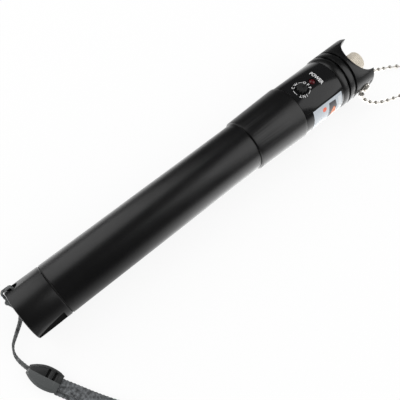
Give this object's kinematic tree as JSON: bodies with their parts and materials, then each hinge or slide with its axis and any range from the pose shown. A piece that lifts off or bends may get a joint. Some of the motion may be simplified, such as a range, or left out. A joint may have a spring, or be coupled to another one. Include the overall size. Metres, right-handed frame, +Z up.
{
  "type": "pen-type visual fault locator",
  "caption": "Pen-shaped fibre fault locator with horned crown, ferrule port under a chained dust cap, rotary switch, battery tube and wrist lanyard.",
  "frame": {"origin": "centre of the resting footprint: midway along the tool and across it, on the surface it lies on (lanyard and chain not counted)", "axes": "+X along the tool from tail cap to dust cap; +Z up, out through the switch knob; the lug screw faces -Y"},
  "size_m": [0.2404, 0.1199, 0.0281],
  "materials": {
    "black_anodised": "satin black anodised, fine turned grain",
    "seal_rubber": "matte",
    "brass": "plain turned",
    "nickel": "bright nickel plate",
    "dust_cap_nickel": "warm nickel plate with straight knurl",
    "cell_jacket": "plain printed jacket",
    "black_plastic": "moulded",
    "black_film": "glossy black film with white lettering",
    "pale_label": "silvery white film label with plain colour fields",
    "knob_plastic": "ribbed black",
    "board_green": "solder mask",
    "lamp_red": "dark red lens",
    "bare_aluminium": "turned",
    "lens_glass": "coated lens",
    "ceramic": "white ceramic",
    "cord_grey": "twisted grey cord",
    "strap_grey": "flat grey braid",
    "clip_grey": "smooth grey moulding"
  },
  "bodies": {
    "root": {"battery_tube": "black_anodised", "tail_seal": "seal_rubber", "battery_cell_1": "cell_jacket", "battery_cell_2": "cell_jacket", "front_contact": "brass", "contact_plug": "black_plastic", "head_housing": "black_anodised", "control_film": "black_film", "side_label": "pale_label", "switch_body": "black_plastic", "circuit_board": "board_green", "lamp_spacer": "black_plastic", "power_lamp": "lamp_red", "module_holder": "bare_aluminium", "laser_module": "brass", "laser_lens": "lens_glass", "adapter_body": "nickel", "ferrule_guide": "nickel", "split_sleeve": "ceramic", "crown": "black_anodised", "lug_screw": "nickel", "chain_tag": "nickel", "bead_chain": "nickel"},
    "tail_end": {"tail_cap": "black_anodised", "tail_contact": "brass", "battery_spring": "nickel", "lanyard_hitch": "cord_grey", "lanyard_cord": "cord_grey", "lanyard_clip": "clip_grey", "lanyard_strap": "strap_grey"},
    "cap_collar": {"cap_ring": "nickel"},
    "dust_cap": {"dust_cap": "dust_cap_nickel"},
    "switch_knob": {"switch_knob": "knob_plastic"}
  },
  "joints": [
    {"name": "tail_cap_slide", "type": "slide", "parent": "root", "child": "tail_end", "axis": [-1, 0, 0], "range_m": [0, 0.03]},
    {"name": "dust_cap_slide", "type": "slide", "parent": "root", "child": "cap_collar", "axis": [1, 0, 0], "range_m": [0, 0.03], "deforming": ["bead_chain"]},
    {"name": "dust_cap_turn", "type": "hinge", "parent": "cap_collar", "child": "dust_cap", "pos_m": [0.08715, 0.00148, 0.01365], "axis": [1, 0, 0], "continuous": true},
    {"name": "knob_turn", "type": "hinge", "parent": "root", "child": "switch_knob", "pos_m": [0.05645, 0.00148, 0.02865], "axis": [0, 0, 1], "range_deg": [-120, 120]}
  ]
}
